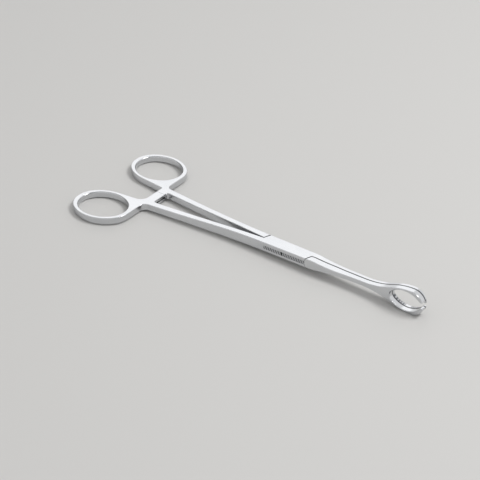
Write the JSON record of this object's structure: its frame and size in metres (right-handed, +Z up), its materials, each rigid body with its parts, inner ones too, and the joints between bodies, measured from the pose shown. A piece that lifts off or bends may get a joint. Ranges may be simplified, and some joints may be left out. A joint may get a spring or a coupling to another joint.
{
  "type": "sponge forceps",
  "caption": "Ring-handled surgical sponge forceps with a box lock, ratchet bars between the handles and oval windowed jaws, lying closed.",
  "frame": {"origin": "on the rivet's axis, at the flat underside of the box", "axes": "+X along the instrument towards the jaws, +Z up along the rivet, +Y to the side of the finger ring that belongs to the inner half"},
  "size_m": [0.1818, 0.0678, 0.0121],
  "materials": {
    "steel": "polished"
  },
  "bodies": {
    "box_side": {"box_half": "steel", "pivot_pin": "steel"},
    "inner_side": {"inner_half": "steel"}
  },
  "joints": [
    {"name": "box_lock_hinge", "type": "hinge", "parent": "box_side", "child": "inner_side", "pos_m": [0, 0, 0.0024], "axis": [0, 0, -1], "range_deg": [0, 38]}
  ]
}
